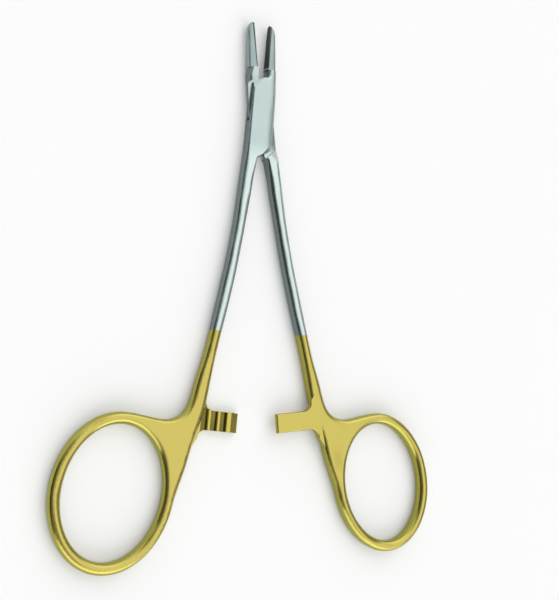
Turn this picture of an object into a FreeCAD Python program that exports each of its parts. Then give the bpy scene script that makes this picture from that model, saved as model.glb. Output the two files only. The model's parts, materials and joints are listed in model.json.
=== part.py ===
import FreeCAD
import Part
import math
import os
from FreeCAD import Vector

# Surgical needle holder: two crossed halves in a box lock, with finger
# rings, a three-step ratchet and hard-metal jaw inserts. Millimetres.
#
# A half is drawn with the jaws closed: the hinge is at the origin, the jaws
# point to +Y, the thickness lies along Z, the shank is on the +X side and
# the jaw on the -X side. The half that holds the box is then mirrored, and
# both halves are turned apart to the resting position.

# Whole instrument
THICKNESS = 3.2
REST_OPENING = 10.6
FULL_OPENING = 50.0
STOP_MARGIN = 2.0

# Box lock
BOX_HALF_WIDTH = 3.2
BOX_CORNER_Y = 7.85
BOX_END_ANGLE = 36.0
BOX_FOOT_X = -0.3
BOX_SPREAD = 0.2
BOX_EDGE_RADIUS = 0.4
BOX_BROAD_RADIUS = 0.9
BOX_HEAD_X = 0.6
BOX_BEVEL_START_X = 0.1
BOX_BEVEL_REACH = 1.9
BOX_BEVEL_DEPTH = 0.5
TANG_THICKNESS = 1.0
TANG_SIDE_Y = 0.2
TANG_FOOT_X = 0.1
TANG_FOOT_Y = 9.7
TANG_CLEARANCE = 0.05
TANG_SIDE_CLEARANCE = 0.12
TANG_OVERLAP = 1.0
SLOT_SIDE_RUNOUT = 1.0
SLOT_END_RUNOUT = 4.0
SHOULDER_GAP = 0.12
SHANK_FACET_X = 1.2
SHANK_FACET = 1.7
JAW_FACET_X = 1.75
JAW_FACET_Y = 11.4
JAW_FACET_STEP_DEPTH = 1.2
JAW_FACET_FOOT_DEPTH = 0.4
LOBE_RADIUS = 1.1
LOBE_EDGE_RADIUS = 0.35
LOBE_PROUD = 0.4
WAIST_Y = 1.0
PIN_RADIUS = 1.2
PIN_CLEARANCE = 0.03

# Jaws
JAW_TIP_Y = 23.6
JAW_STEP_Y = 12.0
JAW_THROAT_Y = 10.6
JAW_ROOT_SETBACK = 0.3
THROAT_EDGE_RADIUS = 1.1
JAW_STEP_HALF_WIDTH = 2.62
JAW_NOSE_LENGTH = 3.0
JAW_NOSE_HALF_WIDTH = 1.93
JAW_ROOT_THICKNESS = 2.4
JAW_TIP_THICKNESS = 1.5
JAW_FACE_HEIGHT = 1.0
JAW_FACE_RADIUS = 0.7
JAW_EDGE_RADIUS = 0.7
JAW_GAP = 0.06
INSERT_DEPTH = 0.5
INSERT_START_Y = 12.4
GROOVE_PITCH = 0.5
GROOVE_DEPTH = 0.1
GROOVE_ANGLE = 45.0

# Shank: distance below the hinge, centre line from the axis, half width
SHANK = [
    (12.0, 1.95, 1.65),
    (18.0, 2.48, 1.50),
    (24.0, 2.88, 1.38),
    (36.0, 4.05, 1.34),
    (48.0, 5.75, 1.34),
    (60.0, 7.70, 1.38),
]
CROTCH_Y = -11.2
CROTCH_OFFSET = 0.4
SHANK_EDGE_RADIUS = 1.1

# Finger ring
RING_INNER_X = 14.05
RING_TOP_Y = -74.2
RING_LONG_RADIUS = 15.55
RING_SHORT_RADIUS = 12.35
RING_LEAN = 7.4
RING_WIDTH = 2.6
RING_EDGE_RADIUS = 1.22

# Web between shank, ring and ratchet
WEB_INNER = [(7.0, -66.0), (7.9, -72.0), (9.45, -77.5), (10.75, -83.5)]
WEB_OUTER = [(19.5, -73.5), (15.6, -73.5), (12.5, -71.8), (10.45, -66.0)]
OUTER_JOIN = 0.8
INNER_JOIN = 2.4

# Ratchet
RATCHET_Y = -72.9
RATCHET_HEIGHT = 4.4
RATCHET_ROOT_X = 8.4
BAR_NECK_X = 6.8
BAR_NECK_LEAN = 1.5
BAR_BLEND = 2.5
LOWER_BAR_TIP_X = -1.45
UPPER_BAR_TIP_X = -2.7
BAR_ROOT_RADIUS = 1.9
BAR_EDGE_RADIUS = 0.35
TOOTH_PITCH = 2.34
TOOTH_DEPTH = 0.6
TOOTH_COUNT = 3
TOOTH_RAMP = 0.86
FIRST_WALL_X = 6.0
CREST_GAP = 0.1

HALF = THICKNESS / 2.0
RING_CENTRE_X = RING_INNER_X + RING_SHORT_RADIUS
RING_CENTRE_Y = RING_TOP_Y - RING_LONG_RADIUS
EPS = 1e-6
NEAR = 0.01
# Edges shorter than this, or nearer to the jaw's working face, stay sharp
SHORT_EDGE = 0.5
# Larger than the width of the lock, for blocks that cut right through
ROOM = 20.0


def at_xy(point, z=0.0):
    return Vector(point[0], point[1], z)


def line(a, b):
    return Part.LineSegment(at_xy(a), at_xy(b)).toShape()


def curve(points, start, end):
    """A smooth curve through the points with the given end directions."""
    spline = Part.BSplineCurve()
    spline.interpolate(
        Points=[at_xy(p) for p in points],
        InitialTangent=at_xy(start),
        FinalTangent=at_xy(end),
    )
    return spline


def pieces(spline, points):
    """The curve cut into edges at the given points on it."""
    cuts = sorted(spline.parameter(at_xy(p)) for p in points)
    cuts = [spline.FirstParameter] + cuts + [spline.LastParameter]
    return [spline.toShape(cuts[i], cuts[i + 1]) for i in range(len(cuts) - 1)]


def polygon(points):
    closed = [at_xy(p) for p in points] + [at_xy(points[0])]
    return Part.Face(Part.makePolygon(closed))


def slab(face, low, high):
    """The face, drawn at z = 0, as a solid from low to high."""
    solid = face.extrude(Vector(0, 0, high - low))
    solid.translate(Vector(0, 0, low))
    return solid


def half_space(points, inside):
    """A large block with a face through three points, on the side away from inside."""
    a, b, c = points
    normal = (b - a).cross(c - a).normalize()
    if normal.dot(inside - a) > 0:
        normal = normal * -1
    cutter = Part.makeBox(2 * ROOM, 2 * ROOM, 2 * ROOM, Vector(-ROOM, -ROOM, 0))
    turn = FreeCAD.Rotation(Vector(0, 0, 1), normal)
    cutter.Placement = FreeCAD.Placement(a, turn).multiply(cutter.Placement)
    return cutter


def block(x_low, x_high, y_low, y_high):
    """An upright block through the whole thickness."""
    return Part.makeBox(x_high - x_low, y_high - y_low, 2 * ROOM, Vector(x_low, y_low, -ROOM))


def mirrored_in_z(shape):
    return shape.mirror(Vector(0, 0, 0), Vector(0, 0, 1))


def turned(shape, degrees):
    result = shape.copy()
    result.rotate(Vector(0, 0, 0), Vector(0, 0, 1), degrees)
    return result


def across_x(shape):
    return shape.mirror(Vector(0, 0, 0), Vector(1, 0, 0))


def ring_ellipse(offset):
    lean = math.radians(RING_LEAN)
    centre = Vector(RING_CENTRE_X, RING_CENTRE_Y, 0)
    long_way = Vector(math.sin(lean), -math.cos(lean), 0)
    short_way = Vector(math.cos(lean), math.sin(lean), 0)
    return Part.Ellipse(
        centre + long_way * (RING_LONG_RADIUS + offset),
        centre + short_way * (RING_SHORT_RADIUS + offset),
        centre,
    )


def joins(ellipse, place):
    """Parameter, point and direction of the ellipse nearest to a place."""
    u = ellipse.parameter(at_xy(place))
    point = ellipse.value(u)
    way = ellipse.tangent(u)[0]
    return u, (point.x, point.y), (way.x, way.y)


def shank_side(side):
    """Points down one side of the shank: +1 is the outer side, -1 the inner."""
    return [(x + side * half, -y) for y, x, half in SHANK]


def handle_edges(top_outer):
    """Outline edges from the crotch round the ring to the outer side of the lock."""
    outer_ring = ring_ellipse(RING_WIDTH / 2.0)
    top = (RING_CENTRE_X - OUTER_JOIN, RING_CENTRE_Y + RING_LONG_RADIUS)
    inside = (RING_CENTRE_X - RING_SHORT_RADIUS, RING_CENTRE_Y - INNER_JOIN)
    u_top, p_top, way_top = joins(outer_ring, top)
    u_in, p_in, way_in = joins(outer_ring, inside)
    inner_points = shank_side(-1)[1:]
    crotch = (inner_points[0][0] - CROTCH_OFFSET, CROTCH_Y)
    inner = curve([crotch] + inner_points + WEB_INNER + [p_in], (0.1, -1), way_in)
    outer_points = list(reversed(shank_side(1)))
    outer = curve([p_top] + WEB_OUTER + outer_points + [top_outer], way_top, (0, 1))
    marks = {
        crotch: BOX_EDGE_RADIUS,
        inner_points[0]: SHANK_EDGE_RADIUS,
        inner_points[-1]: SHANK_EDGE_RADIUS,
        WEB_INNER[2]: RING_EDGE_RADIUS,
        p_in: RING_EDGE_RADIUS,
        p_top: RING_EDGE_RADIUS,
        WEB_OUTER[1]: RING_EDGE_RADIUS,
        outer_points[0]: SHANK_EDGE_RADIUS,
        outer_points[-2]: SHANK_EDGE_RADIUS,
        top_outer: BOX_EDGE_RADIUS,
    }
    edges = pieces(inner, [inner_points[0], inner_points[-1], WEB_INNER[2]])
    edges.append(Part.ArcOfEllipse(outer_ring, u_in, u_top + 2 * math.pi).toShape())
    edges += pieces(outer, [WEB_OUTER[1], outer_points[0], outer_points[-2]])
    return edges, marks, crotch


def jaw_side():
    """The outer side of the jaw, from where the nose begins down to the lock, in two edges."""
    nose = (-JAW_NOSE_HALF_WIDTH, JAW_TIP_Y - JAW_NOSE_LENGTH)
    step = (-JAW_STEP_HALF_WIDTH, JAW_STEP_Y)
    waist = (-BOX_HALF_WIDTH, WAIST_Y)
    side = curve([nose, step, waist], (-0.09, -1), (0, -1))
    beyond, behind = pieces(side, [step])
    return beyond, behind, step, waist


def rounded_body(edges, marks):
    """The closed outline as a plate, with its long edges rounded by the marked radii."""
    wire = Part.Wire(Part.__sortEdges__(edges))
    hole = Part.Wire([ring_ellipse(-RING_WIDTH / 2.0).toShape()])
    face = Part.Face(wire).cut(Part.Face(hole)).Faces[0]
    body = slab(face, -HALF, HALF)
    document = FreeCAD.newDocument("rounding")
    base = document.addObject("Part::Feature", "plate")
    base.Shape = body
    fillet = document.addObject("Part::Fillet", "rounded")
    fillet.Base = base
    fillet.Edges = rounded_edges(body, marks)
    document.recompute()
    result = fillet.Shape.copy()
    FreeCAD.closeDocument(document.Name)
    return result


def mark_at(point, marks):
    for (x, y), radius in marks.items():
        if math.hypot(point.x - x, point.y - y) < NEAR:
            return radius
    return None


def rounded_edges(body, marks):
    """The outline's edges, each with a radius at both ends; the jaw's end stays sharp."""
    found = []
    for index, edge in enumerate(body.Edges, 1):
        box = edge.BoundBox
        if box.ZLength > EPS or box.YMin > JAW_STEP_Y - NEAR:
            continue
        start = edge.valueAt(edge.FirstParameter)
        end = edge.valueAt(edge.LastParameter)
        if (start - end).Length < EPS:
            found.append((index, RING_EDGE_RADIUS, RING_EDGE_RADIUS))
            continue
        first = mark_at(start, marks)
        last = mark_at(end, marks)
        if first and last:
            found.append((index, first, last))
    return found


def wall_end(x):
    """Height of the sloping end of the box wall, and its foot, at a distance x from the axis."""
    rise = math.tan(math.radians(BOX_END_ANGLE))
    return BOX_CORNER_Y + (BOX_HALF_WIDTH - x) * rise


def jaw_profile():
    """Side view of the jaw as a solid: even height to the step, then a taper to a round nose."""
    root = JAW_ROOT_THICKNESS / 2.0
    tip = JAW_TIP_THICKNESS / 2.0
    start = JAW_STEP_Y - ROOM
    nose = JAW_TIP_Y - tip
    points = [(start, root), (JAW_STEP_Y, root), (nose, tip)]
    upper = [Vector(-ROOM, y, z) for y, z in points]
    lower = [Vector(-ROOM, y, -z) for y, z in reversed(points)]
    edges = [Part.LineSegment(upper[i], upper[i + 1]).toShape() for i in range(len(upper) - 1)]
    edges.append(Part.Arc(upper[-1], Vector(-ROOM, JAW_TIP_Y, 0), lower[0]).toShape())
    edges += [Part.LineSegment(lower[i], lower[i + 1]).toShape() for i in range(len(lower) - 1)]
    edges.append(Part.LineSegment(lower[-1], upper[0]).toShape())
    return Part.Face(Part.Wire(edges)).extrude(Vector(2 * ROOM, 0, 0))


def jaw_face_cuts():
    """Cutters that round the jaw towards its narrow working face, above and below."""
    x = -JAW_GAP / 2.0
    z = JAW_FACE_HEIGHT / 2.0
    r = JAW_FACE_RADIUS
    lift = r * math.sqrt(0.5)
    start = Vector(x, JAW_STEP_Y, z)
    end = Vector(x - r, JAW_STEP_Y, z + r)
    corners = [end, Vector(x - r, JAW_STEP_Y, THICKNESS), Vector(THICKNESS, JAW_STEP_Y, THICKNESS),
               Vector(THICKNESS, JAW_STEP_Y, z), start]
    edges = [Part.Arc(start, Vector(x - r + lift, JAW_STEP_Y, z + lift), end).toShape()]
    edges += [Part.LineSegment(corners[i], corners[i + 1]).toShape() for i in range(4)]
    top = Part.Face(Part.Wire(edges)).extrude(Vector(0, JAW_TIP_Y, 0))
    return [top, mirrored_in_z(top)]


def insert_slab():
    """Room for the insert along the working face of the jaw."""
    return block(-JAW_GAP / 2.0 - INSERT_DEPTH, ROOM, INSERT_START_Y, JAW_TIP_Y + ROOM)


def groove(y, sign):
    """One V groove across the working face, leaning up or down the jaw."""
    face_x = -JAW_GAP / 2.0
    points = [
        Vector(face_x - GROOVE_DEPTH, 0, 0),
        Vector(face_x + GROOVE_DEPTH, 2 * GROOVE_DEPTH, 0),
        Vector(face_x + GROOVE_DEPTH, -2 * GROOVE_DEPTH, 0),
    ]
    reach = JAW_ROOT_THICKNESS
    bar = Part.Face(Part.makePolygon(points + [points[0]])).extrude(Vector(0, 0, 2 * reach))
    bar.translate(Vector(0, 0, -reach))
    bar.rotate(Vector(0, 0, 0), Vector(1, 0, 0), sign * GROOVE_ANGLE)
    bar.translate(Vector(0, y, 0))
    return bar


def grooved(insert):
    for sign in (-1, 1):
        count = int((JAW_TIP_Y - INSERT_START_Y) / GROOVE_PITCH) + 1
        bars = [groove(INSERT_START_Y + i * GROOVE_PITCH, sign) for i in range(count)]
        insert = insert.cut(Part.makeCompound(bars))
    return insert


def tooth_space(wall_x, crest_z, deep_z):
    """The space beside a tooth: its steep wall at wall_x, then a ramp rising to the next crest."""
    back = RATCHET_Y - RATCHET_HEIGHT
    points = [
        Vector(wall_x, back, crest_z),
        Vector(wall_x, back, deep_z),
        Vector(wall_x + TOOTH_PITCH * TOOTH_RAMP, back, crest_z),
    ]
    return Part.Face(Part.makePolygon(points + [points[0]])).extrude(Vector(0, 2 * RATCHET_HEIGHT, 0))


def root_arc(neck_x, y, way):
    """The concave corner where a long side of the bar, at height y, runs into the web."""
    r = BAR_ROOT_RADIUS
    lift = r - r * math.sqrt(0.5)
    return Part.Arc(
        at_xy((neck_x - r, y)),
        at_xy((neck_x - lift, y + way * lift)),
        at_xy((neck_x, y + way * r)),
    ).toShape()


def ratchet_bar(tip_x, upper):
    """A toothed bar from the web towards the other half, the teeth facing the other bar."""
    r = BAR_ROOT_RADIUS
    top = RATCHET_Y + RATCHET_HEIGHT / 2.0
    bottom = RATCHET_Y - RATCHET_HEIGHT / 2.0
    neck_top = BAR_NECK_X
    neck_bottom = BAR_NECK_X + BAR_NECK_LEAN
    root_top = (RATCHET_ROOT_X, top + r + BAR_BLEND)
    root_bottom = (RATCHET_ROOT_X + BAR_NECK_LEAN, bottom - r - BAR_BLEND)
    edges = [
        line((tip_x, bottom), (tip_x, top)),
        line((tip_x, top), (neck_top - r, top)),
        root_arc(neck_top, top, 1),
        line((neck_top, top + r), root_top),
        line(root_top, root_bottom),
        line(root_bottom, (neck_bottom, bottom - r)),
        root_arc(neck_bottom, bottom, -1),
        line((neck_bottom - r, bottom), (tip_x, bottom)),
    ]
    bar = slab(Part.Face(Part.Wire(edges)), CREST_GAP / 2.0, HALF)
    edged = []
    for edge in bar.Edges:
        box = edge.BoundBox
        if box.ZMin > HALF - EPS and box.XMin < neck_top - r - EPS:
            edged.append(edge)
    bar = bar.makeFillet(BAR_EDGE_RADIUS, edged)
    walls = [FIRST_WALL_X - i * TOOTH_PITCH for i in range(TOOTH_COUNT)] + [tip_x]
    for wall_x in walls:
        bar = bar.cut(tooth_space(wall_x, 0.0, CREST_GAP / 2.0 + TOOTH_DEPTH))
    if not upper:
        bar = mirrored_in_z(bar)
    return bar


def jaw_blank():
    """The jaw beyond the lock as steel and insert, with its outer edges rounded."""
    inner_x = -JAW_GAP / 2.0
    nose_y = JAW_TIP_Y - JAW_NOSE_LENGTH
    tip = Vector(inner_x, JAW_TIP_Y, 0)
    nose = Part.Ellipse(tip, Vector(-JAW_NOSE_HALF_WIDTH, nose_y, 0), Vector(inner_x, nose_y, 0))
    side, _, step, _ = jaw_side()
    edges = [
        Part.ArcOfEllipse(nose, 0.0, math.pi / 2).toShape(),
        side,
        line(step, (inner_x, JAW_STEP_Y)),
        line((inner_x, JAW_STEP_Y), (inner_x, JAW_TIP_Y)),
    ]
    face = Part.Face(Part.Wire(Part.__sortEdges__(edges)))
    jaw = slab(face, -HALF, HALF).common(jaw_profile())
    outer = []
    for edge in jaw.Edges:
        middle = edge.valueAt((edge.FirstParameter + edge.LastParameter) / 2.0)
        if edge.BoundBox.YLength > SHORT_EDGE and middle.x < -SHORT_EDGE and abs(middle.z) > NEAR:
            outer.append(edge)
    jaw = jaw.makeFillet(JAW_EDGE_RADIUS, outer)
    for cutter in jaw_face_cuts():
        jaw = jaw.cut(cutter)
    room = insert_slab()
    return jaw.cut(room), grooved(jaw.common(room))


def tang_line():
    """Tilt of the tang's long sides from the Y axis, and their distance from the hinge."""
    left = Vector(-BOX_HALF_WIDTH, TANG_SIDE_Y, 0)
    foot = Vector(TANG_FOOT_X, -TANG_FOOT_Y, 0)
    run = foot - left
    tilt = math.atan2(run.x, -run.y)
    distance = abs(left.cross(foot).z) / run.Length
    return tilt, distance


def crossing(angle_a, distance_a, angle_b, distance_b):
    """Where two lines meet, each given by its normal's angle and its distance from the hinge."""
    turn = math.sin(angle_b - angle_a)
    x = (distance_a * math.sin(angle_b) - distance_b * math.sin(angle_a)) / turn
    y = (distance_b * math.cos(angle_a) - distance_a * math.cos(angle_b)) / turn
    return x, y


def slot_room():
    """The slot of the box: it clears the tang while closed and stops it when fully open."""
    tilt, distance = tang_line()
    side = distance + TANG_SIDE_CLEARANCE
    stop_angle = math.radians(FULL_OPENING + STOP_MARGIN)
    stop = BOX_HALF_WIDTH + TANG_CLEARANCE
    mouth = crossing(0.0, BOX_HALF_WIDTH + SLOT_SIDE_RUNOUT, stop_angle, stop)
    knee = crossing(tilt, side, stop_angle, stop)
    end_y = BOX_CORNER_Y + SLOT_END_RUNOUT
    head = crossing(tilt, side, math.pi / 2.0, end_y)
    far = (-BOX_HALF_WIDTH - SLOT_SIDE_RUNOUT, end_y)
    points = [mouth, knee, head, far]
    points += [(-x, -y) for x, y in points]
    gap = TANG_THICKNESS / 2.0 + TANG_CLEARANCE
    return slab(polygon(points), -gap, gap).mirror(Vector(0, 0, 0), Vector(1, 0, 0))


def wall_bevel():
    """Cutters that bevel the free corner of a box wall, widest at the side of the box."""
    start = (BOX_BEVEL_START_X, wall_end(BOX_BEVEL_START_X))
    points = [
        Vector(start[0], start[1], HALF),
        Vector(BOX_HALF_WIDTH, BOX_CORNER_Y - BOX_BEVEL_REACH, HALF),
        Vector(BOX_HALF_WIDTH, BOX_CORNER_Y, HALF - BOX_BEVEL_DEPTH),
    ]
    corner = half_space(points, Vector(0, 0, 0)).common(block(0, ROOM, 0, ROOM))
    cutters = []
    for shape in (corner, mirrored_in_z(corner)):
        cutters += [shape, turned(shape, 180)]
    return cutters


def blank(setback, throat_radius):
    """The forging of a half up to the step of the jaw: its root is set back from the axis."""
    top_outer = (BOX_HALF_WIDTH, -WAIST_Y)
    corner = (-BOX_HALF_WIDTH - BOX_SPREAD, -wall_end(BOX_HALF_WIDTH + BOX_SPREAD))
    upper = (BOX_HALF_WIDTH, BOX_CORNER_Y)
    foot = (BOX_FOOT_X, -wall_end(-BOX_FOOT_X))
    head = (BOX_HEAD_X, wall_end(BOX_HEAD_X))
    throat = (-JAW_GAP / 2.0 - setback, JAW_THROAT_Y)
    root = (throat[0], JAW_STEP_Y)
    angle = math.radians(BOX_END_ANGLE)
    slope = (math.cos(angle), -math.sin(angle))
    edges, marks, crotch = handle_edges(top_outer)
    _, side, step, waist = jaw_side()
    edges += [side, line(waist, corner), line(corner, foot)]
    edges.append(curve([foot, crotch], slope, (0.1, -1)).toShape())
    edges.append(line(top_outer, upper))
    edges.append(line(upper, head))
    edges.append(curve([head, throat], (-slope[0], -slope[1]), (0, 1)).toShape())
    edges += [line(throat, root), line(root, step)]
    marks.update({
        step: BOX_BROAD_RADIUS,
        waist: BOX_BROAD_RADIUS,
        corner: BOX_BROAD_RADIUS,
        upper: BOX_EDGE_RADIUS,
        head: BOX_EDGE_RADIUS,
        throat: throat_radius,
        root: throat_radius,
    })
    return rounded_body(edges, marks)


def box_half():
    """The half with the box: jaw, two lock walls, shank, ring and lower ratchet bar."""
    body = blank(JAW_ROOT_SETBACK, THROAT_EDGE_RADIUS).cut(slot_room())
    for cutter in wall_bevel():
        body = body.cut(cutter)
    steel, insert = jaw_blank()
    body = body.fuse([steel, ratchet_bar(LOWER_BAR_TIP_X, False)])
    pin_hole = Part.makeCylinder(PIN_RADIUS, 2 * ROOM, Vector(0, 0, -ROOM))
    return body.cut(pin_hole).removeSplitter(), insert


def shoulder_band():
    """The band across the lock where the tang half is thinned, between its two shoulders."""
    angle = math.radians(BOX_END_ANGLE)
    along = Vector(math.cos(angle), math.sin(angle), 0)
    across = Vector(-math.sin(angle), math.cos(angle), 0)
    wall = BOX_HALF_WIDTH * math.sin(angle) + BOX_CORNER_Y * math.cos(angle)
    reach = wall + SHOULDER_GAP
    signs = ((-1, -1), (1, -1), (1, 1), (-1, 1))
    corners = [along * a * ROOM + across * b * reach for a, b in signs]
    return slab(polygon([(c.x, c.y) for c in corners]), -ROOM, ROOM), reach, across


def faceted(part, points, inside):
    """The part with the facet through three points cut on both its faces."""
    cutter = half_space(points, inside).common(block(-ROOM, ROOM, -ROOM, JAW_STEP_Y))
    return part.cut(cutter).cut(mirrored_in_z(cutter))


def shoulder_point(x, reach, across):
    """The place at x on a line along the upper shoulder, at the given reach from the hinge."""
    return x, (reach - x * across.x) / across.y


def shank_facet(part, reach, across):
    """The sloping face that leads from the shank's shoulder down to the tang."""
    x, y = shoulder_point(-SHANK_FACET_X, reach, across)
    foot_x, foot_y = shoulder_point(-BOX_HALF_WIDTH, reach, across)
    points = [
        Vector(-x, -y, HALF),
        Vector(-x + SHANK_FACET, -y - SHANK_FACET, HALF),
        Vector(-foot_x, -foot_y, TANG_THICKNESS / 2.0),
    ]
    return faceted(part, points, Vector(0, -JAW_STEP_Y, 0))


def jaw_facet(part, reach, across):
    """The sloping face on the outer side of the jaw's root, from the step to the shoulder."""
    x, y = shoulder_point(-BOX_HALF_WIDTH, reach, across)
    points = [
        Vector(x, y, HALF - JAW_FACET_FOOT_DEPTH),
        Vector(-JAW_FACET_X, JAW_FACET_Y, HALF),
        Vector(-JAW_STEP_HALF_WIDTH, JAW_STEP_Y, HALF - JAW_FACET_STEP_DEPTH),
    ]
    return faceted(part, points, Vector(-JAW_FACET_X, JAW_FACET_Y, 0))


def tang_plan():
    """The plan of the thin tang: two parallel sides that lead from jaw to shank, past both ends."""
    tilt, distance = tang_line()
    length = JAW_STEP_Y + TANG_OVERLAP
    corners = []
    for side in (1, -1):
        for end in (side, -side):
            x, y = crossing(tilt, side * distance, math.pi / 2.0, end * length)
            corners.append((x, y))
    return polygon(corners)


def root_lobe(reach, across):
    """The round inner corner of the tang half's jaw: it touches the shoulder and the jaw's face."""
    x, y = shoulder_point(-JAW_GAP / 2.0 - LOBE_RADIUS, reach + LOBE_RADIUS, across)
    lobe = Part.makeCylinder(LOBE_RADIUS, THICKNESS, Vector(x, y, -HALF))
    rims = [edge for edge in lobe.Edges if edge.BoundBox.ZLength < EPS]
    return lobe.makeFillet(LOBE_EDGE_RADIUS, rims)


def tang_half():
    """The half that passes through the box: jaw, tang, shank, ring and upper ratchet bar."""
    forging = blank(0.0, LOBE_EDGE_RADIUS)
    band, reach, across = shoulder_band()
    thick = forging.cut(band)
    upper = [s for s in thick.Solids if s.CenterOfMass.y > 0][0]
    lower = [s for s in thick.Solids if s.CenterOfMass.y < 0][0]
    inner_x = -JAW_GAP / 2.0 - LOBE_PROUD
    upper = upper.common(block(inner_x - ROOM, inner_x, 0, ROOM))
    upper = upper.fuse(root_lobe(reach, across))
    upper = jaw_facet(upper, reach, across)
    lower = shank_facet(lower, reach, across)
    half_tang = TANG_THICKNESS / 2.0
    tang = forging.common(slab(tang_plan(), -half_tang, half_tang))
    steel, insert = jaw_blank()
    body = tang.fuse([upper, lower, steel, ratchet_bar(UPPER_BAR_TIP_X, True)])
    pin_hole = Part.makeCylinder(PIN_RADIUS + PIN_CLEARANCE, 2 * ROOM, Vector(0, 0, -ROOM))
    return body.cut(pin_hole).removeSplitter(), insert


def pivot_pin():
    """The pin, riveted and ground flush with both faces of the box."""
    return Part.makeCylinder(PIN_RADIUS, THICKNESS, Vector(0, 0, -HALF))


def build():
    os.makedirs("parts", exist_ok=True)
    half_turn = REST_OPENING / 2.0
    box, box_insert = box_half()
    tang, tang_insert = tang_half()
    nodes = {
        "box_half": turned(across_x(box), -half_turn),
        "box_jaw_insert": turned(across_x(box_insert), -half_turn),
        "tang_half": turned(tang, half_turn),
        "tang_jaw_insert": turned(tang_insert, half_turn),
        "pivot_pin": pivot_pin(),
    }
    whole = Part.makeCompound(list(nodes.values()))
    box = whole.optimalBoundingBox(False)
    shift = Vector(-(box.XMin + box.XMax) / 2.0, -(box.YMin + box.YMax) / 2.0, -box.ZMin)
    for name, shape in nodes.items():
        placed = shape.copy()
        placed.translate(shift)
        placed.exportStep("parts/" + name + ".step")
        print(name, len(placed.Solids), "solid,", round(placed.Volume, 3), "mm3, valid", placed.isValid())
    print("hinge at", [round(c, 4) for c in shift])
    print("size", round(box.XLength, 3), round(box.YLength, 3), round(box.ZLength, 3))
    print("range", -REST_OPENING, FULL_OPENING - REST_OPENING)


build()
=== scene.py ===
# %% [markdown]
# # A surgical needle holder
# Two crossed steel halves turn on a pin inside a box lock. The lower shanks,
# the ratchet bars and the finger rings are gilded, which is how the trade
# marks a holder with hard-metal jaws. The forgings come from the CAD model
# with exact surfaces, so this file is about finish and light, and the table
# is the only shape that it adds.

import bpy
import json
import math
import numpy as np
from mathutils import Euler, Matrix, Vector

MM = 0.001
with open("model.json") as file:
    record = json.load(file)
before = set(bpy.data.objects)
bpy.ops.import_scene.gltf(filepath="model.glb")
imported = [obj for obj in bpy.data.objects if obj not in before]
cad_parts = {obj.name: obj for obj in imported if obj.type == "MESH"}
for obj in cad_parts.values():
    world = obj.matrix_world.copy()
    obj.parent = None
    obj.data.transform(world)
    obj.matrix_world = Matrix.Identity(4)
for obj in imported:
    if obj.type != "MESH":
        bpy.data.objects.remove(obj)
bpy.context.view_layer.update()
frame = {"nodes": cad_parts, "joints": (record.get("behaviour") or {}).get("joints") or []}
joint = frame["joints"][0]
hinge = Vector(joint["pos_m"])
print("hinge in mm:", [round(c / MM, 3) for c in hinge])

# %% [markdown]
# ## Each half has its own ruler
# A grinder works along the half that is in the vice, not along the finished
# instrument. The patterns below are therefore laid out in each half's own
# frame: the hinge is the zero, +Y runs to the jaw tip, and the unit is one
# millimetre. The halves rest opened by the same angle to each side, so one
# half is turned back by half of the opening, and the other by as much the
# other way. A Mapping node does this for Object coordinates, and because it
# reads Object coordinates, the pattern rides with the half when the hinge
# moves.

# %% The half's own frame
opening = -joint["range_deg"][0]
OWN_TURN = {"box_half": opening / 2, "tang_half": -opening / 2, "pivot_pin": opening / 2}
OWN_TURN["box_jaw_insert"] = OWN_TURN["box_half"]
OWN_TURN["tang_jaw_insert"] = OWN_TURN["tang_half"]
print("opening at rest:", opening, "degrees")


def own_frame(tree, node):
    """Object coordinates, turned about the hinge by the half's angle and given in mm."""
    angle = math.radians(OWN_TURN[node])
    turned_hinge = Matrix.Rotation(angle, 4, "Z") @ hinge
    coordinates = tree.nodes.new("ShaderNodeTexCoord")
    mapping = tree.nodes.new("ShaderNodeMapping")
    mapping.inputs["Scale"].default_value = (1 / MM, 1 / MM, 1 / MM)
    mapping.inputs["Rotation"].default_value = Euler((0, 0, angle))
    mapping.inputs["Location"].default_value = -turned_hinge / MM
    tree.links.new(coordinates.outputs["Object"], mapping.inputs["Vector"])
    return mapping.outputs["Vector"]


# %% [markdown]
# ## Small tools for node trees
# A material is a small machine of nodes, and every node is placed and wired
# in the same few ways. The first cell holds the two helpers that the rest
# build on: `feed` sets or links one socket, and `add` places a node with its
# inputs fed. The second cell names the nodes that come up most often, so that
# a formula in a docstring reads nearly the same in the code. The third opens
# a node group or a material.

# %% Feed a socket, add a node
def feed(tree, socket, value):
    """Link the value where it is another node's socket, and set it otherwise."""
    if isinstance(value, bpy.types.NodeSocket):
        tree.links.new(value, socket)
    else:
        socket.default_value = value


def add(tree, kind, values=(), **settings):
    """A node of that kind, with its settings, and its inputs fed by name or number."""
    node = tree.nodes.new(kind)
    for key, value in settings.items():
        setattr(node, key, value)
    for key, value in dict(values).items():
        feed(tree, node.inputs[key], value)
    return node


# %% The nodes that come up most often
def calc(tree, operation, first, second=0.0, clamp=False):
    """The result of one Math node on one or two values."""
    settings = {"operation": operation, "use_clamp": clamp}
    return add(tree, "ShaderNodeMath", {0: first, 1: second}, **settings).outputs[0]


def ranged(tree, value, start, end, low, high, curve="LINEAR"):
    """low up to the start, high from the end on, and the curve from one to the other."""
    values = {"Value": value, "From Min": start, "From Max": end, "To Min": low, "To Max": high}
    return add(tree, "ShaderNodeMapRange", values, interpolation_type=curve).outputs["Result"]


def mixed(tree, mask, low, high, kind="FLOAT"):
    """low where the mask is 0, high where it is 1."""
    node = add(tree, "ShaderNodeMix", data_type=kind)
    sockets = [s for s in node.inputs if s.enabled]
    for socket, value in zip(sockets, (mask, low, high)):
        feed(tree, socket, value)
    return [s for s in node.outputs if s.enabled][0]


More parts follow.
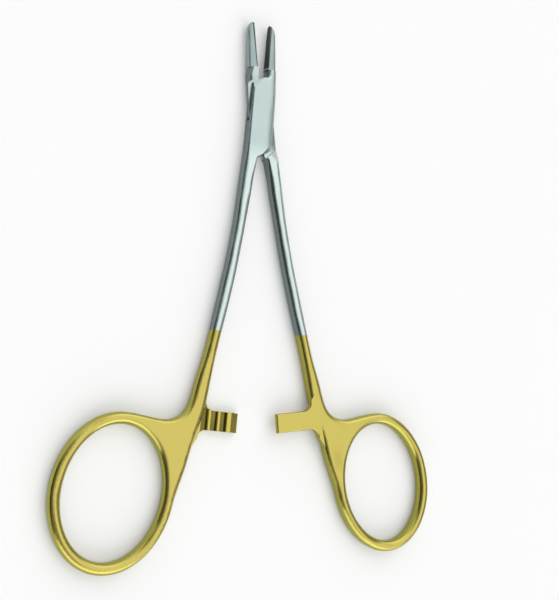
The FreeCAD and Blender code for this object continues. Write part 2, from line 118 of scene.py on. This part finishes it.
def noise(tree, vector, scale, detail):
    """Noise about 0.5. The scale is its lumps to the unit of the vector."""
    values = {"Vector": vector, "Scale": scale, "Detail": detail}
    return add(tree, "ShaderNodeTexNoise", values).outputs["Fac"]


def bumped(tree, height, depth, strength=1.0, normal=None):
    """The normal, tilted by the slope of height * depth, with depth in metres."""
    values = {"Height": height, "Distance": depth, "Strength": strength}
    if normal is not None:
        values["Normal"] = normal
    return add(tree, "ShaderNodeBump", values).outputs["Normal"]


# %% Open a group or a material
def start_group(name, inputs, outputs):
    """A node group with the given sockets: name to socket type and default value."""
    tree = bpy.data.node_groups.new(name, "ShaderNodeTree")
    for label, (kind, value) in inputs.items():
        socket = tree.interface.new_socket(label, in_out="INPUT", socket_type=kind)
        if value is not None:
            socket.default_value = value
    for label, kind in outputs.items():
        tree.interface.new_socket(label, in_out="OUTPUT", socket_type=kind)
    source = tree.nodes.new("NodeGroupInput").outputs
    sink = tree.nodes.new("NodeGroupOutput").inputs
    return tree, source, sink


def place(tree, group, values):
    """The outputs of one use of a node group, with its inputs fed."""
    return add(tree, "ShaderNodeGroup", values, node_tree=group).outputs


def start_material(name):
    """A material with an empty tree, its Principled BSDF and its output."""
    material = bpy.data.materials.new(name)
    material.use_nodes = True
    tree = material.node_tree
    tree.nodes.clear()
    shader = tree.nodes.new("ShaderNodeBsdfPrincipled")
    output = tree.nodes.new("ShaderNodeOutputMaterial")
    tree.links.new(shader.outputs["BSDF"], output.inputs["Surface"])
    return material, tree, shader


# %% [markdown]
# ## Zones along a half
# Three finishes meet on one forging, and each border is a straight line
# across the half: the ground jaw ends at a step, and the gilding ends where
# the plater's lacquer began. A zone mask is a ramp of the Y coordinate. It
# could be painted, but a computed border stays sharp at any distance, and
# its place is a named length. A little noise makes the gilding's edge creep
# the way a hand-lacquered edge does.

# %% Group: zone mask
FLOAT = "NodeSocketFloat"
VECTOR = "NodeSocketVector"
WAVER_SCALE = 2.5
WAVER_DETAIL = 2.0


def zone_group():
    """Mask = clamp((Y - edge + waver * (noise - 0.5)) / softness + 0.5)."""
    inputs = {
        "Vector": (VECTOR, None),
        "Edge": (FLOAT, 0.0),
        "Softness": (FLOAT, 0.05),
        "Waver": (FLOAT, 0.0),
    }
    tree, source, sink = start_group("Zone along the half", inputs, {"Mask": FLOAT})
    y = add(tree, "ShaderNodeSeparateXYZ", {"Vector": source["Vector"]}).outputs["Y"]
    lumps = noise(tree, source["Vector"], WAVER_SCALE, WAVER_DETAIL)
    shift = calc(tree, "MULTIPLY", calc(tree, "SUBTRACT", lumps, 0.5), source["Waver"])
    moved = calc(tree, "ADD", calc(tree, "SUBTRACT", y, source["Edge"]), shift)
    ramp = calc(tree, "DIVIDE", moved, source["Softness"])
    tree.links.new(calc(tree, "ADD", ramp, 0.5, clamp=True), sink["Mask"])
    return tree


zone = zone_group()
print("group:", zone.name)


def above(tree, vector, edge, softness, waver=0.0):
    """A mask that is 1 past the edge, towards the jaw tip."""
    values = {"Vector": vector, "Edge": edge, "Softness": softness, "Waver": waver}
    return place(tree, zone, values)["Mask"]


# %% [markdown]
# ## Faces and walls
# The broad faces lie flat on the polishing wheel and come out bright. The
# walls and bevels are coloured a shade darker, and that is painted shade: it
# stands in for the dark that they mirror. The face that a point lies on shows
# in the surface normal: in a face it points straight up or down.

# %% Group: broad faces
FACE_START = 0.72
FACE_FULL = 0.95


def face_group():
    """Mask = smoothstep of |Z of the normal| from Start to Full."""
    inputs = {
        "Normal": (VECTOR, None),
        "Start": (FLOAT, FACE_START),
        "Full": (FLOAT, FACE_FULL),
    }
    tree, source, sink = start_group("Broad faces", inputs, {"Mask": FLOAT})
    z = add(tree, "ShaderNodeSeparateXYZ", {"Vector": source["Normal"]}).outputs["Z"]
    size = calc(tree, "ABSOLUTE", z)
    mask = ranged(tree, size, source["Start"], source["Full"], 0.0, 1.0, "SMOOTHSTEP")
    tree.links.new(mask, sink["Mask"])
    return tree


faces = face_group()
print("group:", faces.name)

# %% [markdown]
# ## Grinding lines, clouds and polishing waves
# Even a polished instrument keeps fine lines from the last belt. They are
# noise that is stretched along the half, and they vary the roughness and
# tilt the surface a little. Hand polishing also leaves long soft waves, a few
# degrees steep, which is why the reflection in a real face is never one even
# tone. They are slow noise in a bump. A third noise, the cloud, varies the
# tone of the jaw inserts over a few millimetres. One group makes all three,
# and each material takes what it needs.

# %% Group: belt grain
GRAIN_DETAIL = 3.0
CLOUD_SCALE = 0.35
CLOUD_DETAIL = 3.0
WAVE_SCALE = 0.17
WAVE_DETAIL = 0.0


def grain_group():
    """Grain = noise of (X * fineness, Y * fineness / stretch, Z * fineness).

    Cloud and Wave are noise of the plain coordinates at their own scales.
    """
    inputs = {"Vector": (VECTOR, None), "Fineness": (FLOAT, 1.0), "Stretch": (FLOAT, 1.0)}
    outputs = {"Grain": FLOAT, "Cloud": FLOAT, "Wave": FLOAT}
    tree, source, sink = start_group("Belt grain", inputs, outputs)
    vector, fine = source["Vector"], source["Fineness"]
    along = calc(tree, "DIVIDE", fine, source["Stretch"])
    scale = add(tree, "ShaderNodeCombineXYZ", {"X": fine, "Y": along, "Z": fine}).outputs[0]
    factors = {0: vector, 1: scale}
    stretched = add(tree, "ShaderNodeVectorMath", factors, operation="MULTIPLY").outputs[0]
    tree.links.new(noise(tree, stretched, 1.0, GRAIN_DETAIL), sink["Grain"])
    tree.links.new(noise(tree, vector, CLOUD_SCALE, CLOUD_DETAIL), sink["Cloud"])
    tree.links.new(noise(tree, vector, WAVE_SCALE, WAVE_DETAIL), sink["Wave"])
    return tree


grain = grain_group()
print("group:", grain.name)

# %% [markdown]
# ## The forged halves
# One Principled BSDF does for all zones, because all are bare metal: only
# colour and roughness change. Satin stainless steel is a slightly green
# grey, the box is a shade duller, the ground jaw is darker and duller still,
# and the gilding is yellow and the smoothest of them. The zones are given in
# millimetres from the hinge.

# %% Zones and tones of the halves
GILDING_Y = -52.8
GILDING_SOFTNESS = 0.25
GILDING_WAVER = 0.3
BOX_END_Y = -9.0
BOX_END_SOFTNESS = 5.0
JAW_STEP_Y = 12.0
JAW_STEP_SOFTNESS = 0.02
STEEL = (0.54, 0.64, 0.62, 1.0)
BOX_STEEL = (0.43, 0.52, 0.51, 1.0)
# Painted shade: this wall tone stands in for the dark that the steel walls and bevels mirror.
SHADED_WALL_STEEL = (0.18, 0.225, 0.215, 1.0)
JAW_STEEL = (0.30, 0.38, 0.37, 1.0)
GOLD = (0.50, 0.42, 0.105, 1.0)
# Painted shade: this wall tone stands in for the dark that the gilded walls and bevels mirror.
SHADED_WALL_GOLD = (0.36, 0.34, 0.07, 1.0)
STEEL_ROUGHNESS = 0.20
BOX_ROUGHNESS = 0.28
JAW_ROUGHNESS = 0.40
GOLD_ROUGHNESS = 0.16


def half_colour(tree, jaw, bare, box, broad):
    """Steel or gold, with painted shade on the walls, and the ground jaw over both."""
    face_tone = mixed(tree, box, STEEL, BOX_STEEL, "RGBA")
    steel_tone = mixed(tree, broad, SHADED_WALL_STEEL, face_tone, "RGBA")
    gold_tone = mixed(tree, broad, SHADED_WALL_GOLD, GOLD, "RGBA")
    below_step = mixed(tree, bare, gold_tone, steel_tone, "RGBA")
    return mixed(tree, jaw, below_step, JAW_STEEL, "RGBA")


def half_roughness(tree, jaw, bare, box):
    """The roughness of each zone, before the grinding lines vary it."""
    steel_rough = mixed(tree, box, STEEL_ROUGHNESS, BOX_ROUGHNESS)
    below_step = mixed(tree, bare, GOLD_ROUGHNESS, steel_rough)
    return mixed(tree, jaw, below_step, JAW_ROUGHNESS)


# %% [markdown]
# ## The rolled edge of the box
# A soft belt rolls over the right edge of the box and of the jaw above it, so
# the face turns away by up to twenty degrees there. The CAD face is flat, and
# the outline doesn't change by the roll, so a bump stands in for it. Its
# height falls with the square of the distance past the start, which makes the
# slope grow evenly.

# %% The roll
ROLL_START = 0.9
ROLL_END = 3.3
ROLL_RATE = 0.075


def roll_off(tree, vector, box):
    """Height in mm = -rate * (x - start) squared, held past the end, above the box's end."""
    x = add(tree, "ShaderNodeSeparateXYZ", {"Vector": vector}).outputs["X"]
    past = ranged(tree, x, ROLL_START, ROLL_END, 0.0, ROLL_END - ROLL_START)
    drop = calc(tree, "MULTIPLY", calc(tree, "MULTIPLY", past, past), -ROLL_RATE)
    return bumped(tree, calc(tree, "MULTIPLY", drop, box), MM)


steepest = math.degrees(math.atan(2 * ROLL_RATE * (ROLL_END - ROLL_START)))
print("steepest roll:", round(steepest, 1), "degrees")

# %% [markdown]
# ## The finish of a half
# The masks, tones and bumps above meet here. The order of the bumps runs
# from the broad to the fine: the roll, the polishing waves on it, and the
# grinding lines on those.

# %% Material of the halves
STEEL_GRAIN = {"Fineness": 9.0, "Stretch": 30.0}
STEEL_UNEVEN = (0.8, 1.2)
STEEL_BUMP = 0.35
GRAIN_DEPTH = 0.002 * MM
WAVE_DEPTH = 0.5 * MM


def bare_metal(tree, shader, colour, roughness, normal):
    """Feed a shader as metal, with what changes over the surface."""
    shader.inputs["Metallic"].default_value = 1.0
    tree.links.new(colour, shader.inputs["Base Color"])
    tree.links.new(roughness, shader.inputs["Roughness"])
    tree.links.new(normal, shader.inputs["Normal"])


def half_material(node):
    """Steel, with a ground jaw above the step and gilding below its line."""
    material, tree, shader = start_material(node + "_finish")
    vector = own_frame(tree, node)
    jaw = above(tree, vector, JAW_STEP_Y, JAW_STEP_SOFTNESS)
    bare = above(tree, vector, GILDING_Y, GILDING_SOFTNESS, GILDING_WAVER)
    box = above(tree, vector, BOX_END_Y, BOX_END_SOFTNESS)
    normal = tree.nodes.new("ShaderNodeTexCoord").outputs["Normal"]
    broad = place(tree, faces, {"Normal": normal})["Mask"]
    lines = place(tree, grain, {"Vector": vector, **STEEL_GRAIN})
    uneven = ranged(tree, lines["Grain"], 0.0, 1.0, *STEEL_UNEVEN)
    rough = calc(tree, "MULTIPLY", half_roughness(tree, jaw, bare, box), uneven)
    waved = bumped(tree, lines["Wave"], WAVE_DEPTH, normal=roll_off(tree, vector, box))
    ground = bumped(tree, lines["Grain"], GRAIN_DEPTH, STEEL_BUMP, normal=waved)
    bare_metal(tree, shader, half_colour(tree, jaw, bare, box, broad), rough, ground)
    return material


for node in ("box_half", "tang_half", "pivot_pin"):
    frame["nodes"][node].material_slots[0].material = half_material(node)
    print("finished:", node)

# %% [markdown]
# ## The jaw inserts
# The inserts are sintered hard metal, darker than steel and matt from
# grinding. Their cross-hatching holds the needle, and it is cut in the CAD
# model. Here they get their dark tone and a fine grain that is nearly as wide
# as it is long. The tone is part real and part painted shade: hard metal is
# darker than steel, and it is darkened further for the shade between the jaws.

# %% Material of the inserts
# Part painted shade: hard metal is darker than steel, and these tones are darker still for the
# shade between the jaws.
HARD_METAL_IN_SHADE = (0.09, 0.105, 0.10, 1.0)
HARD_METAL_IN_SHADE_DARK = (0.072, 0.084, 0.080, 1.0)
INSERT_GRAIN = {"Fineness": 14.0, "Stretch": 1.5}
INSERT_ROUGHNESS = (0.35, 0.55)
INSERT_BUMP = 0.4


def insert_material(node):
    """Hard metal, darkened further as painted shade, with a fine even grain in its roughness
    and bump.
    """
    material, tree, shader = start_material(node + "_finish")
    lines = place(tree, grain, {"Vector": own_frame(tree, node), **INSERT_GRAIN})
    tone = mixed(tree, lines["Cloud"], HARD_METAL_IN_SHADE_DARK, HARD_METAL_IN_SHADE, "RGBA")
    rough = ranged(tree, lines["Grain"], 0.0, 1.0, *INSERT_ROUGHNESS)
    ground = bumped(tree, lines["Grain"], GRAIN_DEPTH, INSERT_BUMP)
    bare_metal(tree, shader, tone, rough, ground)
    return material


for node in ("box_jaw_insert", "tang_jaw_insert"):
    frame["nodes"][node].material_slots[0].material = insert_material(node)
    print("finished:", node)

# %% [markdown]
# ## The paper
# The instrument lies on a plain white table of paper. Most of its white is
# its own pale colour under the light, so it keeps the instrument's soft
# shadow. Where the camera, or the metal that mirrors it, looks at the paper,
# a small share of plain white is mixed in, so that it comes out paper white.

# %% Material of the paper
PAPER_DARK = (0.945, 0.945, 0.945, 1.0)
PAPER_LIGHT = (0.955, 0.955, 0.955, 1.0)
PAPER_MOTTLE = 30.0
PAPER_DETAIL = 2.0
PAPER_ROUGHNESS = 0.9
PAPER_SHINE = 0.1
PLAIN_WHITE = (1.0, 1.0, 1.0, 1.0)
WHITE_SHARE = 0.12


def paper_material():
    """(1 - share) * paper + share * plain white, the share only where it is looked at."""
    material, tree, shader = start_material("table_white")
    shader.inputs["Roughness"].default_value = PAPER_ROUGHNESS
    shader.inputs["Specular IOR Level"].default_value = PAPER_SHINE
    vector = tree.nodes.new("ShaderNodeTexCoord").outputs["Object"]
    mottle = noise(tree, vector, PAPER_MOTTLE, PAPER_DETAIL)
    tint = mixed(tree, mottle, PAPER_DARK, PAPER_LIGHT, "RGBA")
    tree.links.new(tint, shader.inputs["Base Color"])
    rays = tree.nodes.new("ShaderNodeLightPath").outputs
    seen = calc(tree, "MAXIMUM", rays["Is Camera Ray"], rays["Is Glossy Ray"])
    seen = calc(tree, "MAXIMUM", seen, rays["Is Transmission Ray"])
    share = calc(tree, "MULTIPLY", seen, WHITE_SHARE)
    white = add(tree, "ShaderNodeEmission", {"Color": PLAIN_WHITE, "Strength": 1.0})
    both = {0: share, 1: shader.outputs["BSDF"], 2: white.outputs["Emission"]}
    mix = add(tree, "ShaderNodeMixShader", both)
    output = tree.get_output_node("ALL")
    tree.links.new(mix.outputs["Shader"], output.inputs["Surface"])
    return material


# %% [markdown]
# ## The table
# The table is flat where the instrument lies. Far out it bends up into a
# shallow rim, as a photographer's paper sweep does, so that a low camera
# still looks at paper. Its lengths are in metres.

# %% Table
SWEEP_START = 1.5
SWEEP_END = 6.0
SWEEP_RISE = 0.75
HUB_RADIUS = 0.02
FLAT_RINGS = 4
BENT_RINGS = 25
SPOKES = 96
FLOOR_DROP = 0.02 * MM


def sweep(name):
    """Rings about a flat hub: height = rise * bend squared - drop.

    The bend is (radius - start) / (end - start) past the start, and 0 before it.
    """
    flat = np.linspace(HUB_RADIUS, SWEEP_START, FLAT_RINGS)
    bent = np.linspace(SWEEP_START, SWEEP_END, BENT_RINGS)[1:]
    turn = np.linspace(0, 2 * np.pi, SPOKES, endpoint=False)
    r, a = np.meshgrid(np.concatenate([flat, bent]), turn, indexing="ij")
    bend = np.clip((r - SWEEP_START) / (SWEEP_END - SWEEP_START), 0, 1)
    height = SWEEP_RISE * bend**2 - FLOOR_DROP
    points = np.stack([r * np.cos(a), r * np.sin(a), height], axis=-1).reshape(-1, 3)
    index = np.arange(r.size).reshape(r.shape)
    ahead = np.roll(index, -1, axis=1)
    quads = np.stack([index[:-1], index[1:], ahead[1:], ahead[:-1]], axis=-1).reshape(-1, 4)
    hub = index[0]
    mesh = bpy.data.meshes.new(name)
    mesh.from_pydata(points.tolist(), [], quads.tolist() + [hub.tolist()])
    mesh.shade_smooth()
    piece = bpy.data.objects.new(name, mesh)
    bpy.context.collection.objects.link(piece)
    return piece


floor = sweep("table_top")
floor.data.materials.append(paper_material())
print("table:", [round(c, 2) for c in floor.dimensions], "m")

# %% [markdown]
# ## The light
# Metal looks like what stands around it, so the studio matters more than the
# lamps. The room gives a weak even light from all sides. A wide soft light
# hangs above and to the right and is what the flat faces mirror. Two low
# banks at the head and the foot of the table light the paper. In the photograph's view the flat faces don't mirror them, but seen
# from the jaw end they mirror the foot bank and come out very bright. Two
# dark cards stand left and right and draw the dark lines along the edges, as
# photographers of cutlery do it. All of this is a world that depends only on
# direction, so no lamp shows as a square.

# %% Lamps and cards, each a soft patch of directions
ROOM = 0.28
MAIN_LIGHT = {"direction": (0.57, 0.12, 0.81), "start": 0.45, "full": 0.95, "strength": 1.05}
HEAD_BANK = {"direction": (0, 1, 0), "start": 0.45, "full": 0.75, "strength": 0.9}
FOOT_BANK = {"direction": (0, -1, 0), "start": 0.45, "full": 0.75, "strength": 1.8}
LEFT_CARD = {"direction": (-0.97, 0.0, 0.24), "start": 0.78, "full": 0.93, "strength": 0.60}
RIGHT_CARD = {"direction": (0.95, 0.10, 0.30), "start": 0.80, "full": 0.97, "strength": 0.70}


def lobe(tree, way, direction, start, full, strength):
    """strength * smoothstep of the cosine between the way and the direction."""
    axis = tuple(Vector(direction).normalized())
    dot = add(tree, "ShaderNodeVectorMath", {0: way, 1: axis}, operation="DOT_PRODUCT")
    return ranged(tree, dot.outputs["Value"], start, full, 0.0, strength, "SMOOTHSTEP")


# %% World
def soft_world():
    """Brightness = (room + main light + two banks) * (1 - left card) * (1 - right card)."""
    world = bpy.data.worlds.new("studio")
    bpy.context.scene.world = world
    world.use_nodes = True
    tree = world.node_tree
    tree.nodes.clear()
    way = tree.nodes.new("ShaderNodeTexCoord").outputs["Generated"]
    light = ROOM
    for lamp in (MAIN_LIGHT, HEAD_BANK, FOOT_BANK):
        light = calc(tree, "ADD", light, lobe(tree, way, **lamp))
    for card in (LEFT_CARD, RIGHT_CARD):
        passed = calc(tree, "SUBTRACT", 1.0, lobe(tree, way, **card))
        light = calc(tree, "MULTIPLY", light, passed)
    glow = add(tree, "ShaderNodeBackground", {"Color": light, "Strength": 1.0})
    output = tree.nodes.new("ShaderNodeOutputWorld")
    tree.links.new(glow.outputs["Background"], output.inputs["Surface"])


soft_world()
print("light from:", MAIN_LIGHT["direction"], "left card at:", LEFT_CARD["direction"])

# %% [markdown]
# ## The camera
# The picture was taken from the left and a little below, with the
# instrument standing square in the frame. The camera's place is given from
# the hinge, and its three angles are yaw, pitch and roll.

# %% Camera
CAMERA_FROM_HINGE = Vector((-100.25, -71.49, 182.81)) * MM
CAMERA_YAW = 30.034
CAMERA_PITCH = -7.470
CAMERA_ROLL = 0.168
FOCAL_LENGTH = 54.0
SENSOR_HEIGHT = 36.0
NEAREST_SEEN = 0.01


def camera_axes(yaw, pitch, roll):
    """Right, up and back of a camera that looks down, turned by the three angles in order."""
    y, p, r = (math.radians(a) for a in (yaw, pitch, roll))
    right = Vector((math.cos(y), 0, math.sin(y)))
    up = Vector((0, 1, 0))
    back = Vector((-math.sin(y), 0, math.cos(y)))
    cos, sin = math.cos(p), math.sin(p)
    up, back = cos * up - sin * back, sin * up + cos * back
    cos, sin = math.cos(r), math.sin(r)
    right, up = cos * right + sin * up, -sin * right + cos * up
    return right, up, back


lens = bpy.data.cameras.new("camera")
lens.sensor_fit = "VERTICAL"
lens.sensor_height = SENSOR_HEIGHT
lens.lens = FOCAL_LENGTH
lens.clip_start = NEAREST_SEEN
camera = bpy.data.objects.new("camera", lens)
bpy.context.collection.objects.link(camera)
axes = Matrix(camera_axes(CAMERA_YAW, CAMERA_PITCH, CAMERA_ROLL)).transposed().to_4x4()
camera.matrix_world = Matrix.Translation(hinge + CAMERA_FROM_HINGE) @ axes
bpy.context.scene.camera = camera
bpy.context.scene.view_settings.view_transform = "Standard"
print("camera at mm:", [round(c / MM, 1) for c in camera.location])
